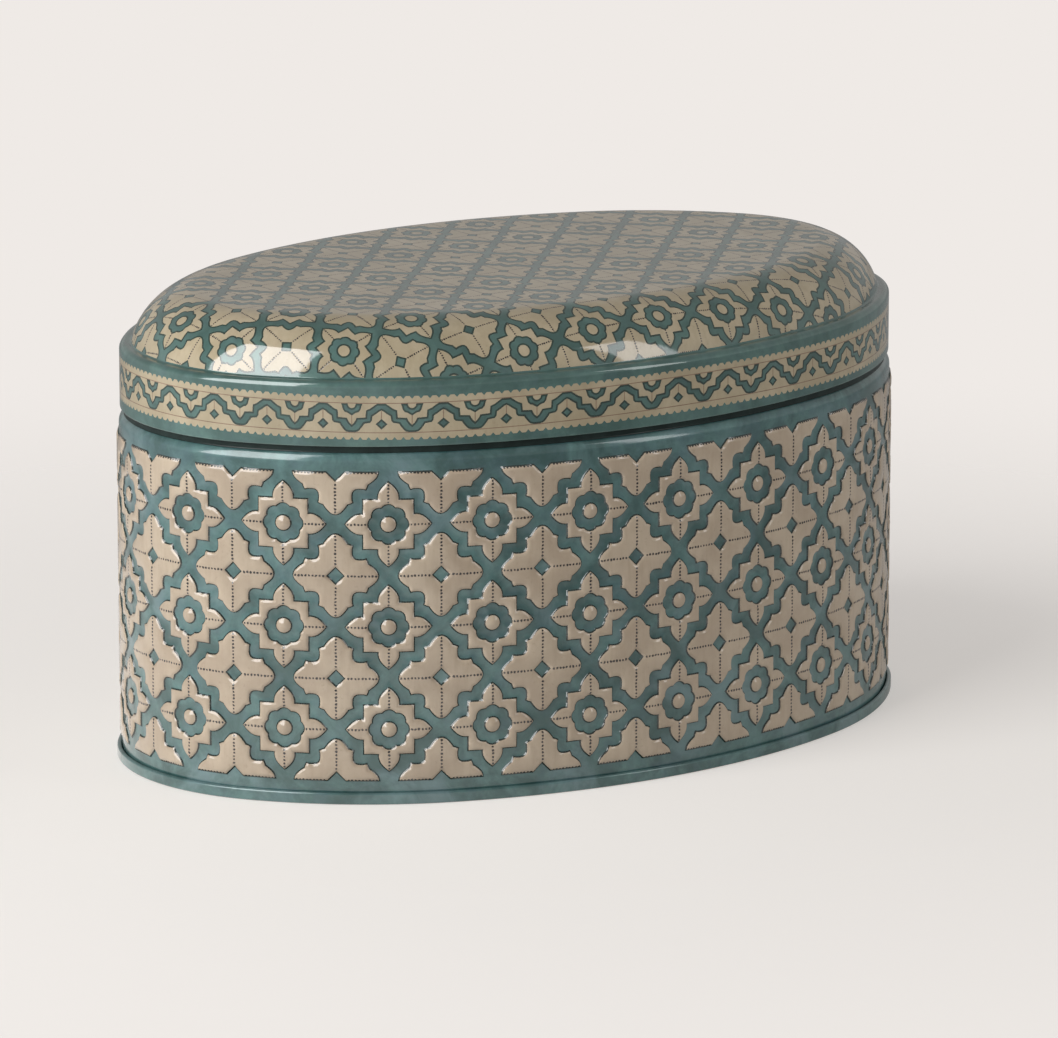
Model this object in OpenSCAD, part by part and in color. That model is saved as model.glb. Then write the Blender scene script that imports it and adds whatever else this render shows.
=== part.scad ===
// Oval tin box with a slip lid, made of pressed tinplate.
// Three formed pieces: a drawn lid, a rolled body wall and a base panel that is
// double-seamed to the wall. The box stands on z = 0, with its length along X.

/* [Box] */
// Length of the box over its wall
body_l = 220; // [200:1:240]
// Depth of the box over its wall
body_d = 143; // [132:1:154]
// Height at which the shoulder ends and the neck begins
body_h = 89.7; // [70:0.1:110]
// Thickness of the tinplate
sheet = 0.3; // [0.25:0.05:0.35]

/* [Lid] */
// How far the lid's skirt lies inside the outer face of the wall
lid_inset = 0.3; // [0.2:0.1:0.6]
// Height of the lid's skirt from its hemmed edge to its rounded shoulder
skirt_h = 14.8; // [10:0.2:18]
// Outer radius of the round between the skirt and the ledge
ledge_r = 1.7; // [1.4:0.1:2.4]
// Width of the flat ledge at the foot of the dome
ledge_w = 0.9; // [0.5:0.1:1.5]
// Radius of the crease at the foot of the dome
crease_r = 0.5; // [0.4:0.1:0.8]
// Outer radius of the dome's rounded side
dome_r = 17.3; // [12:0.1:20]
// Slope at which the dome leaves its foot, in degrees
dome_slope = 75; // [60:1:80]
// Height of the hem that is folded up inside the skirt
hem_h = 5; // [3:0.5:7]

/* [Neck] */
// Outer radius of the shoulder under the lid
shoulder_r = 3; // [2.6:0.1:3.6]
// Radius of the bend at the foot of the neck
neck_bend_r = 0.65; // [0.5:0.05:0.8]
// Radius of the curl along the rim of the neck
curl_r = 1.05; // [0.9:0.05:1.3]
// How far round the rim is curled, in degrees
curl_turn = 300; // [240:5:310]

/* [Base] */
// Height of the double seam round the foot
seam_h = 3; // [2.8:0.1:3.6]
// Depth of the base panel above the floor
countersink = 3.2; // [2.8:0.1:4.5]
// Length of the wall's hook inside the double seam
body_hook = 1.25; // [1:0.05:1.3]
// Length of the base panel's hook inside the double seam
cover_hook = 1.3; // [1:0.05:1.35]
// Radius of the two bends under the foot
foot_bend_r = 0.35; // [0.3:0.05:0.45]
// Radius of the bend round the edge of the panel
panel_bend_r = 0.8; // [0.6:0.1:1.2]

/* [Side seam] */
// Width of the folded seam that closes the wall, at the back
side_seam_w = 5; // [4:0.5:7]
// Width of the groove that the seam leaves outside
groove_w = 0.4; // [0.3:0.1:0.6]
// Depth of that groove
groove_depth = 0.12; // [0.08:0.02:0.16]

/* [Clearances] */
// Gap between the lid's edge and the top of the shoulder
lid_gap = 1.3; // [1:0.1:1.6]
// Gap between the curled rim and the lid's ledge, which rests on it
rim_gap = 0.3; // [0.25:0.05:0.5]
// Play between the lid's hem and the neck, each side
lid_play = 0.4; // [0.35:0.05:0.6]
// Gap between the two layers of the lid's hem
hem_gap = 0.1; // [0.08:0.01:0.15]
// Gap between the layers of the double seam
seam_gap = 0.15; // [0.12:0.01:0.16]

/* [Hidden] */
$fn = 96;

teal = [0.20, 0.43, 0.44];
dark_teal = [0.14, 0.34, 0.35];

// Lengths that place the oval are kept to a hundredth of a millimetre
function hundredths(x) = round(x * 100) / 100;
half_l = hundredths(body_l / 2);
half_d = hundredths(body_d / 2);

// The oval is drawn from eight centres and keeps close to an ellipse. Neighbouring arcs
// meet in these directions, whose sides are whole numbers, 4:3:5 and 44:117:125.
end_joint = [0.8, 0.6];
side_joint = [0.352, 0.936];

// How much larger each arc's radius is than the one before it, from the end to the side
slack = half_l - half_d;
side_step = 5 * round(0.36 * slack);
haunch_step = 2.5 * slack - 0.72 * side_step;
end_r = half_d - 0.4 * haunch_step - 0.064 * side_step;
haunch_r = end_r + haunch_step;
side_r = haunch_r + side_step;
end_c = [half_l - end_r, 0];
haunch_c = end_c - haunch_step * end_joint;
side_c = haunch_c - side_step * side_joint;

// Each arc of the oval: centre, radius, and the directions of its two ends
function flip(v, x, y) = [v.x * x, v.y * y];
ARCS = [
    [end_c, end_r, flip(end_joint, 1, -1), end_joint],
    [haunch_c, haunch_r, end_joint, side_joint],
    [side_c, side_r, side_joint, flip(side_joint, -1, 1)],
    [flip(haunch_c, -1, 1), haunch_r, flip(side_joint, -1, 1), flip(end_joint, -1, 1)],
    [-end_c, end_r, flip(end_joint, -1, 1), -end_joint],
    [-haunch_c, haunch_r, -end_joint, -side_joint],
    [-side_c, side_r, -side_joint, flip(side_joint, 1, -1)],
    [flip(haunch_c, 1, -1), haunch_r, flip(side_joint, 1, -1), flip(end_joint, 1, -1)],
];

// Places across the wall are measured outwards from its outer face
wall_mid = -sheet / 2;
hem_bend_r = (sheet + hem_gap) / 2;
skirt_mid = -lid_inset - sheet / 2;
hem_mid = skirt_mid - 2 * hem_bend_r;
neck_mid = hem_mid - sheet - lid_play;
shoulder_bend_r = shoulder_r - sheet / 2;
shoulder_bends_r = shoulder_bend_r + neck_bend_r;
shoulder_turn = acos(1 - (wall_mid - neck_mid) / shoulder_bends_r);

// Layers of the double seam, from the inside outwards
layer = sheet + seam_gap;
chuck_mid = wall_mid - layer;
cover_hook_mid = wall_mid + layer;
body_hook_mid = cover_hook_mid + layer;
seam_mid = body_hook_mid + layer;
foot_z = sheet / 2;
hook_z = foot_z + layer + layer;
seam_bend_z = seam_h - sheet / 2 - layer;
panel_z = countersink + sheet / 2;
panel_edge = chuck_mid - panel_bend_r;

// Heights along the middle of the sheet, and where the lid's flat top begins
lid_edge_z = body_h + lid_gap;
ledge_bend_r = ledge_r - sheet / 2;
crease_bend_r = crease_r + sheet / 2;
dome_bend_r = dome_r - sheet / 2;
dome_bends_r = dome_bend_r + crease_bend_r;
ledge_z = lid_edge_z + skirt_h + ledge_bend_r;
top_z = hundredths(ledge_z + dome_bends_r * (1 - cos(dome_slope)));
top_edge = hundredths(skirt_mid - ledge_bend_r - ledge_w - dome_bends_r * sin(dome_slope));
skirt_run = skirt_h - sheet / 2 - hem_bend_r;
hem_run = hem_h - sheet / 2 - hem_bend_r;
shoulder_z = body_h - shoulder_bends_r * sin(shoulder_turn);
wall_run = shoulder_z - hook_z;
neck_run = ledge_z - sheet - rim_gap - curl_r - body_h;

// The side seam starts above the base panel and ends under the shoulder
side_seam_z = countersink + 2 * layer;
side_seam_h = shoulder_z - sheet - side_seam_z;

// Width over which a flat panel and its bent edge are one sheet
flat_lap = 4;
// A round length that lies well beyond the box
reach = 1000;

function direction(angle) = [cos(angle), sin(angle)];

// Points along one arc of the oval, moved outwards by out, without the last one
function arc_points(arc, out, count) =
    let (first = atan2(arc[2].y, arc[2].x), last = atan2(arc[3].y, arc[3].x))
    let (sweep = (last - first + 360) % 360)
    [for (i = [0:count - 1]) arc[0] + (arc[1] + out) * direction(first + sweep * i / count)];

// Part of a ring of sheet: r is the radius at the middle of the sheet
module arc_band(r, sweep) {
    fan = ceil(sweep / 60);
    intersection() {
        difference() {
            circle(r + sheet / 2);
            circle(r - sheet / 2);
        }
        polygon([[0, 0], for (i = [0:fan]) reach * direction(sweep * i / fan)]);
    }
}

// A strip of sheet seen on edge, heading along +X. Each step is a straight run
// [length] or a bend [radius, turn], where a turn to the left is positive.
module strip(steps, i = 0) {
    if (i < len(steps)) {
        step = steps[i];
        if (len(step) == 1) {
            translate([0, -sheet / 2]) square([step[0], sheet]);
            translate([step[0], 0]) strip(steps, i + 1);
        } else {
            side = sign(step[1]) * step[0];
            translate([0, side]) rotate(min(step[1], 0) + (side > 0 ? -90 : 90))
                arc_band(step[0], abs(step[1]));
            translate([0, side]) rotate(step[1]) translate([0, -side]) strip(steps, i + 1);
        }
    }
}

// Carries a profile round the whole oval, one arc at a time
module round_oval() {
    for (arc = ARCS)
        intersection() {
            translate(arc[0]) rotate(atan2(-arc[2].y - arc[3].y, -arc[2].x - arc[3].x))
                rotate_extrude() translate([arc[1], 0]) children();
            translate([0, 0, -reach / 2]) linear_extrude(reach)
                polygon([arc[0], arc[0] + reach * arc[2], arc[0] + reach * arc[3]]);
        }
}

// Flat sheet at height z. Its rim lies inside the flat lap of the bent edge that it joins.
module flat_panel(edge, z) {
    translate([0, 0, z - sheet / 2]) linear_extrude(sheet)
        polygon([for (arc = ARCS) each arc_points(arc, edge - flat_lap / 2, 8)]);
}

// Lid drawn from one sheet: flat top, rounded dome, creased foot, ledge, straight
// skirt, and an edge that is folded up inside
module lid() {
    color(teal) {
        flat_panel(top_edge, top_z);
        round_oval()
            translate([top_edge - flat_lap, top_z]) strip([
                [flat_lap], [dome_bend_r, -dome_slope], [crease_bend_r, dome_slope], [ledge_w],
                [ledge_bend_r, -90], [skirt_run], [hem_bend_r, -180], [hem_run],
            ]);
    }
}

// Fold inside the wall where its two edges are hooked together
module side_seam() {
    half_turn = asin(side_seam_w / 2 / side_r);
    translate(side_c) rotate(90 - half_turn) rotate_extrude(angle = 2 * half_turn)
        translate([side_r - 3 * sheet, side_seam_z]) square([2.5 * sheet, side_seam_h]);
}

// Wall rolled from one sheet: hooked foot, straight side, shoulder, neck and curled rim
module body_wall() {
    color(dark_teal) difference() {
        union() {
            round_oval()
                translate([body_hook_mid, hook_z + body_hook]) rotate(-90) strip([
                    [body_hook], [layer, -180], [wall_run], [shoulder_bend_r, shoulder_turn],
                    [neck_bend_r, -shoulder_turn], [neck_run], [curl_r, curl_turn],
                ]);
            side_seam();
        }
        translate([-groove_w / 2, half_d - groove_depth, side_seam_z])
            cube([groove_w, sheet, side_seam_h]);
    }
}

// Base panel: sunk flat sheet whose edge is folded round the wall's hook
module base_panel() {
    color(teal) {
        flat_panel(panel_edge, panel_z);
        round_oval()
            translate([panel_edge - flat_lap, panel_z]) strip([
                [flat_lap], [panel_bend_r, -90],
                [panel_z - panel_bend_r - foot_bend_r - foot_z],
                [foot_bend_r, 90], [seam_mid - chuck_mid - 2 * foot_bend_r], [foot_bend_r, 90],
                [seam_bend_z - foot_z - foot_bend_r], [layer, 180], [cover_hook],
            ]);
    }
}

lid();
body_wall();
base_panel();
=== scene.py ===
"""Looks of the oval tin box: printed and embossed tinplate, built over the CAD frame."""

import math

import bpy
import numpy as np
from mathutils import Matrix, Vector
from mathutils.geometry import delaunay_2d_cdt


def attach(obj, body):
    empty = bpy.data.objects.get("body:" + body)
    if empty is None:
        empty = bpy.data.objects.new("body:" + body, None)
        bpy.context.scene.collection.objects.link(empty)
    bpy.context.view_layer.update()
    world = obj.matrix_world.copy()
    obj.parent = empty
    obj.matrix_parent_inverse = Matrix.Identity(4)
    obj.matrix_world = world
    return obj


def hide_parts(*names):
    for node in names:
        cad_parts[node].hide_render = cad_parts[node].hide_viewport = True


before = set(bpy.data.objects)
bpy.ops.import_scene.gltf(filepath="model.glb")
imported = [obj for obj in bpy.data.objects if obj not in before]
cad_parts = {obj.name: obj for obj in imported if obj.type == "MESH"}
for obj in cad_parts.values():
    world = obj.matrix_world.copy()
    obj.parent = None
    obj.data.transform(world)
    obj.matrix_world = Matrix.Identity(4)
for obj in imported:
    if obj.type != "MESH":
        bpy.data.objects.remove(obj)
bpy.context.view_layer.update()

# Lengths are in millimetres up to the point where a mesh is made
MM = 0.001
# Allowances for rounding, and the distances at which points count as touching or become one
TINY, SMALL = 1e-9, 1e-6
TOUCH, MERGE, WELD = 1e-3, 1e-4, 2e-4

# Box, as in the CAD: the wall's outer face is an oval of these half lengths.
# Places across the wall are measured outwards from that face.
HALF_L, HALF_D = 110.0, 71.5
END_JOINT, SIDE_JOINT = np.array([0.8, 0.6]), np.array([0.352, 0.936])
SHEET = 0.3
BODY_H = 89.7
LID_GAP, LID_INSET, LID_PLAY, RIM_GAP, SEAM_GAP = 1.3, 0.3, 0.4, 0.3, 0.15

# Lid, as in the CAD
LID_EDGE_Z = BODY_H + LID_GAP
SKIRT_H = 14.8
LEDGE_R, LEDGE_W = 1.7, 0.9
CREASE_R = 0.5
DOME_R, DOME_SLOPE = 17.3, 75.0
HEM_H, HEM_BEND_R = 5.0, 0.2
SKIRT_MID = -LID_INSET - SHEET / 2
LEDGE_BEND_R = LEDGE_R - SHEET / 2
LEDGE_Z = LID_EDGE_Z + SKIRT_H + LEDGE_BEND_R
DOME_RISE = (DOME_R + CREASE_R) * (1 - math.cos(math.radians(DOME_SLOPE)))
DOME_W = (DOME_R + CREASE_R) * math.sin(math.radians(DOME_SLOPE))
LID_TOP_Z = LEDGE_Z + DOME_RISE + SHEET / 2
FLAT_EDGE = SKIRT_MID - LEDGE_BEND_R - LEDGE_W - DOME_W

# Wall, as in the CAD
WALL_MID = -SHEET / 2
LAYER = SHEET + SEAM_GAP
HOOK_Z = SHEET / 2 + 2 * LAYER
BODY_HOOK = 1.25
NECK_MID = SKIRT_MID - 2 * HEM_BEND_R - SHEET - LID_PLAY
NECK_BEND_R = 0.65
SHOULDER_R = 3.0
SHOULDER_BEND_R = SHOULDER_R - SHEET / 2
SHOULDER_BENDS_R = SHOULDER_BEND_R + NECK_BEND_R
SHOULDER_TURN = math.degrees(math.acos(1 - (WALL_MID - NECK_MID) / SHOULDER_BENDS_R))
SHOULDER_Z = BODY_H - SHOULDER_BENDS_R * math.sin(math.radians(SHOULDER_TURN))
CURL_R, CURL_TURN = 1.05, 300.0
NECK_RUN = LEDGE_Z - SHEET - RIM_GAP - CURL_R - BODY_H
GROOVE_W, GROOVE_DEPTH = 0.4, 0.12

# Base and side seam, as in the CAD
SEAM_H = 3.0
COVER_HOOK = 1.3
COUNTERSINK = 3.2
FOOT_BEND_R, PANEL_BEND_R = 0.35, 0.8
PANEL_Z = COUNTERSINK + SHEET / 2
CHUCK_MID = WALL_MID - LAYER
SEAM_MID = WALL_MID + 3 * LAYER
PANEL_EDGE = CHUCK_MID - PANEL_BEND_R
SIDE_SEAM_W = 5.0
SIDE_SEAM_Z = COUNTERSINK + 2 * LAYER

# Embossed pattern on the wall: its tiles, then the widths of a figure's dark line, slope and rounded
# edge, their heights, and how far the normals lean there
COLUMNS, ROWS = 22, 3
PATTERN_Z, COLUMN_SHIFT = 6.0, 2.0
LINE_W, SLOPE_W, ROUND_W = 0.32, 0.28, 0.55
LINE_RISE, EDGE_RISE, RELIEF = 0.32, 0.5, 0.6
FOOT_LEAN, LINE_LEAN, EDGE_LEAN, CROWN_LEAN = 1.2, 0.85, 0.5, 0.1
BOSS_RISE, BOSS_LEAN = 0.2, 0.4
# Share of that lean on the flat ground beside a figure, and the height up to which ground counts as flat
GROUND_SHARE, GROUND_RISE = 0.12, 0.01
# Length of one bead of the dark line
BEAD = 0.64

# Flat print on the lid: steps from one tile to the next, and where a flower stands
LID_LATTICE = np.array([[20.45, 0.4], [-0.3, 21.4]])
LID_ORIGIN = np.array([1.0, 0.9])
LID_TILE = 20.9
LID_LINE_W = 0.46
LID_LINE_SHARE = LID_LINE_W / LID_TILE

# Printed border on the lid's skirt
BORDER_REPEATS = 38
BORDER_SHIFT = 1.8
BORDER_LOW, BORDER_HIGH = 94.0, 105.0
RULE_LOW, RULE_HIGH, RULE_W = 95.9, 103.1, 0.22
TEETH, TOOTH_DEPTH, TOOTH_SHARE = 7, 0.7, 0.28

# Degrees between the rows of a bent sheet, in hidden folds and elsewhere, and the fewest steps of a bend
FOLD_STEP, BEND_STEP, FEWEST_STEPS = 30, 15, 3

# Zones of colour. The last one is the neck under the lid, painted near black as shade in the gap below the
# lid's edge
TEAL, BEIGE, LINE, INSIDE, BROWN, NECK_SHADE = range(6)


# The oval: eight arcs that run counterclockwise from the middle of the back

def oval_arcs():
    """Centres, radii, first angles and lengths of the arcs, the back one in two halves. The steps from
    one centre to the next are worked out as in the CAD."""
    slack = HALF_L - HALF_D
    side_step = 5 * round(0.36 * slack)
    haunch_step = 2.5 * slack - 0.72 * side_step
    end_r = HALF_D - 0.4 * haunch_step - 0.064 * side_step
    end_c = np.array([HALF_L - end_r, 0.0])
    haunch_c = end_c - haunch_step * END_JOINT
    side_c = haunch_c - side_step * SIDE_JOINT
    arcs = {"end": (end_c, end_r), "haunch": (haunch_c, end_r + haunch_step),
            "side": (side_c, end_r + haunch_step + side_step)}
    low, high = (math.atan2(y, x) for x, y in (END_JOINT, SIDE_JOINT))
    joints = [math.pi / 2]
    for turn in (math.pi, 2 * math.pi):
        joints += [turn - high, turn - low, turn + low, turn + high]
    joints = np.array(joints + [2.5 * math.pi])
    order = ["side", "haunch", "end", "haunch"] * 2 + ["side"]
    flips = [(1, 1), (-1, 1), (-1, 1), (-1, -1), (1, -1), (1, -1), (1, 1), (1, 1), (1, 1)]
    centres = np.array([arcs[kind][0] for kind in order]) * flips
    radius = np.array([arcs[kind][1] for kind in order])
    return centres, radius, joints[:-1], np.diff(joints) * radius


ARC_C, ARC_R, ARC_A, ARC_LEN = oval_arcs()
ARC_S = np.concatenate([[0.0], np.cumsum(ARC_LEN)])
GIRTH = ARC_S[-1]
PITCH = GIRTH / COLUMNS
FRONT = GIRTH / 2
UP = np.array([0, 0, 1.0])


def oval_place(s, out, z):
    """Points at lengths s along the oval, out from it and at height z, with normals and tangents."""
    s = np.mod(s, GIRTH)
    arc = np.clip(np.searchsorted(ARC_S, s, side="right") - 1, 0, len(ARC_R) - 1)
    angle = ARC_A[arc] + (s - ARC_S[arc]) / ARC_R[arc]
    normal = np.stack([np.cos(angle), np.sin(angle), np.zeros_like(angle)], -1)
    tangent = np.stack([-normal[..., 1], normal[..., 0], np.zeros_like(angle)], -1)
    flat = ARC_C[arc] + (ARC_R[arc] + out)[..., None] * normal[..., :2]
    return np.concatenate([flat, np.broadcast_to(z, angle.shape)[..., None]], -1), normal, tangent


def oval_find(points):
    """Length along the oval and distance out from it, for points in its plane."""
    best_s = np.zeros(len(points))
    best_out = np.full(len(points), -np.inf)
    for i in range(len(ARC_R)):
        ray = points - ARC_C[i]
        turn = np.mod(np.arctan2(ray[:, 1], ray[:, 0]) - ARC_A[i], 2 * math.pi)
        turn = np.where(turn > 2 * math.pi - TINY, 0.0, turn)
        out = np.hypot(ray[:, 0], ray[:, 1]) - ARC_R[i]
        better = (turn * ARC_R[i] <= ARC_LEN[i] + SMALL) & (out > best_out)
        best_s = np.where(better, ARC_S[i] + turn * ARC_R[i], best_s)
        best_out = np.where(better, out, best_out)
    return best_s, best_out


# Closed outlines, which run counterclockwise. A moved outline's corners are cut at the mitre limit.
MITRE_LIMIT = 0.35


def unit(v):
    return v / np.maximum(np.linalg.norm(v, axis=-1, keepdims=True), TINY)


def cross(a, b):
    return a[..., 0] * b[..., 1] - a[..., 1] * b[..., 0]


def eightfold(octant):
    """Outline made of its part between an axis and a diagonal."""
    part = np.array(octant, float)
    on_diagonal = abs(part[-1, 0] - part[-1, 1]) < TINY
    other = part[::-1, ::-1][1 if on_diagonal else 0:]
    quarter = np.vstack([part, other])[:-1]
    turns = [(1, 0), (0, 1), (-1, 0), (0, -1)]
    return np.vstack([quarter @ np.array([(c, s), (-s, c)]) for c, s in turns])


def shifted(line, distance):
    """An outline moved to its left, so inwards."""
    ahead = unit(np.roll(line, -1, 0) - line)
    behind = np.roll(ahead, 1, 0)
    both = ahead + behind
    mitre = np.stack([-both[:, 1], both[:, 0]], 1)
    mitre = mitre / np.maximum(MITRE_LIMIT, 1 + (ahead * behind).sum(1))[:, None]
    return line + distance * mitre


def inside(points, outline):
    """Which points lie inside an outline."""
    x, y = points[:, 0, None], points[:, 1, None]
    a, b = outline, np.roll(outline, -1, 0)
    crosses = (a[:, 1] > y) != (b[:, 1] > y)
    rise = np.where(b[:, 1] == a[:, 1], 1.0, b[:, 1] - a[:, 1])
    at_x = a[:, 0] + (y - a[:, 1]) * (b[:, 0] - a[:, 0]) / rise
    return (crosses & (x < at_x)).sum(1) % 2 == 1


def nearest(points, outline):
    """Distance of points from an outline, the length along it to there, and its whole length."""
    step = np.roll(outline, -1, 0) - outline
    length = np.linalg.norm(step, axis=1)
    ray = points[:, None] - outline
    share = np.clip((ray * step).sum(2) / length ** 2, 0, 1)
    gaps = np.linalg.norm(ray - share[..., None] * step, axis=2)
    best = gaps.argmin(1)
    rows = np.arange(len(points))
    starts = np.cumsum(length) - length
    return gaps[rows, best], starts[best] + share[rows, best] * length[best], length.sum()


# One tile of the print is a flower, and a quarter of a four-lobed figure in each corner.
# Lengths are in tile widths, and each outline is given from an axis round to a diagonal.
PETAL_X, PETAL_L, PETAL_W, PETAL_BULGE, PETAL_POWER = 0.238, 0.167, 0.095, 0.006, 2.2
RING_R, RING_DENT = 0.2, 0.022
BOSS_R = 0.0705


def polar(radius, degrees):
    return (radius * math.cos(math.radians(degrees)), radius * math.sin(math.radians(degrees)))


def petal_side(t):
    return (PETAL_X + PETAL_L * t, PETAL_W * (1 - t ** PETAL_POWER) + PETAL_BULGE * math.sin(math.pi * t))


def ring_edge(degrees):
    return polar(RING_R - RING_DENT * (1 - abs(math.cos(math.radians(4 * degrees)))), degrees)


FLOWER = [petal_side(t) for t in (1, 0.93, 0.82, 0.68, 0.52, 0.34, 0.16, 0)]
FLOWER += [(0.236, 0.165), (0.236, 0.236)]
RING = [ring_edge(a) for a in (0, 8, 15, 20, 22.5, 25, 30, 37, 45)]
BOSS = [polar(BOSS_R, a) for a in (0, 15, 30, 45)]
LOBES = [(0.402, 0.0), (0.398, 0.023), (0.385, 0.047), (0.362, 0.071), (0.337, 0.091),
         (0.318, 0.105), (0.306, 0.111), (0.299, 0.134), (0.287, 0.159), (0.262, 0.153),
         (0.224, 0.152), (0.193, 0.156), (0.170, 0.170)]
DIAMOND = [(0.089, 0.0), (0.0445, 0.0445)]

# Each outline, with the points that are kept for the reverse of the embossing, inside the box
OUTLINES = {"flower": (FLOWER, (0, 3, 5, 7, 9)), "ring": (RING, (0, 2, 4, 6, 8)), "boss": (BOSS, (0, 3)),
            "lobes": (LOBES, (0, 2, 4, 6, 8, 10, 12)), "diamond": (DIAMOND, (0, 1))}
# Where the boss comes in the list of a tile's figures
BOSS_PLACE = 2


def cut_figure(lobes, diamond):
    """Upper half of the four-lobed figure, without its half diamond, closed along y = 0."""
    lobes, diamond = (o[:len(o) // 4 + 1] for o in (lobes, diamond))
    right = np.vstack([diamond[::-1], lobes])
    return np.vstack([right, right[-2:0:-1] * (-1, 1)])


def tile_figures(pitch, coarse=False, cut_low=False):
    """Outlines on a tile with a flower at the origin, each with 1 where its inside is raised and
    beige, and -1 where its outside is. The first five make up the whole print when repeated."""
    shapes = {name: eightfold([octant[i] for i in few] if coarse else octant) * pitch
              for name, (octant, few) in OUTLINES.items()}
    figures = [(shapes["flower"], 1), (shapes["ring"], -1), (shapes["boss"], 1)]
    for y in (-pitch / 2, pitch / 2):
        for x in (-pitch / 2, pitch / 2):
            if cut_low and y < 0:
                figures.append((cut_figure(shapes["lobes"], shapes["diamond"]) + (x, y), 1))
            else:
                figures += [(shapes["lobes"] + (x, y), 1), (shapes["diamond"] + (x, y), -1)]
    return figures


def figure_zones(points, figures, line_w):
    """Colours of points on a tile: beige figures with a thin outline, on teal."""
    zone = np.full(len(points), TEAL)
    for outline, raised in figures:
        within = inside(points, outline)
        within_line = inside(points, shifted(outline, -line_w * raised))
        zone[within | within_line] = LINE
        zone[within & within_line] = BEIGE if raised > 0 else TEAL
    return zone


# Triangles between given lines

class Lines:
    """Points and edges for a triangulation, with three numbers kept for each point."""

    def __init__(self):
        self.points, self.edges, self.data = [], [], []

    def dots(self, points, data=(0, 0, 0)):
        points = np.asarray(points, float)
        self.points += [Vector(p) for p in points.tolist()]
        self.data += np.broadcast_to(data, (len(points), 3)).tolist()

    def add(self, line, data=(0, 0, 0), closed=False):
        start, count = len(self.points), len(line)
        self.dots(line, data)
        self.edges += [(start + i, start + i + 1) for i in range(count - 1)]
        if closed:
            self.edges.append((start + count - 1, start))

    def triangles(self):
        """Points, counterclockwise triangles, and the first given point of each point, or -1."""
        verts, _, faces, origin, _, _ = delaunay_2d_cdt(self.points, self.edges, [], 0, MERGE, True)
        verts, faces = np.array([tuple(v) for v in verts]), np.array(faces)
        a, b, c = (verts[faces[:, i]] for i in range(3))
        area = cross(b - a, c - a)
        faces = np.where((area < 0)[:, None], faces[:, ::-1], faces)
        return verts, faces[np.abs(area) > TINY], np.array([o[0] if o else -1 for o in origin])


def lookup(points, verts, faces, values):
    """Values at points inside a triangulation, taken across its triangles."""
    result = np.zeros((len(points), values.shape[1]))
    a, b, c = (verts[faces[:, i]] for i in range(3))
    area = cross(b - a, c - a)
    for i, p in enumerate(points):
        u, v = cross(b - p, c - p) / area, cross(c - p, a - p) / area
        share = np.stack([u, v, 1 - u - v], 1)
        best = share.min(1).argmax()
        result[i] = np.clip(share[best], 0, 1) @ values[faces[best]]
    return result


# The embossed tile. Points along its edges and over its wide plain parts keep it round.
EDGE_DOTS = [0.06, 0.17, 0.25, 0.33, 0.45]
FILL_DOTS, FILL_GAP = 8, 1.4
# A line's point that has come nearer to its outline than this share of the way moved is folded
FOLD_SHARE = 0.9
# Height of the boss's rounded side, half way out, as a share of its rise
BOSS_SIDE = 0.75


def up_slope(outline, raised, distance):
    """Line at a distance up the slope from an outline, without its folded points, and the way it rises."""
    moved = shifted(outline, distance * raised)
    kept = nearest(moved, outline)[0] > FOLD_SHARE * distance
    return moved[kept], unit(moved - outline)[kept]


def bead_places(corners, figures):
    """For corners of faces in an outline: beads along the outline, and the share across its line."""
    found, best = np.zeros(corners.shape), np.full(len(corners), np.inf)
    for outline, _ in figures:
        gap, along, length = nearest(corners.reshape(-1, 2), outline)
        gap, along = gap.reshape(-1, 3), along.reshape(-1, 3) / length
        along += np.round(along[:, :1] - along)
        better = gap.mean(1) < best
        found[better] = np.stack([along * round(length / BEAD), gap / LINE_W], 2)[better]
        best = np.minimum(best, gap.mean(1))
    return found


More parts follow.
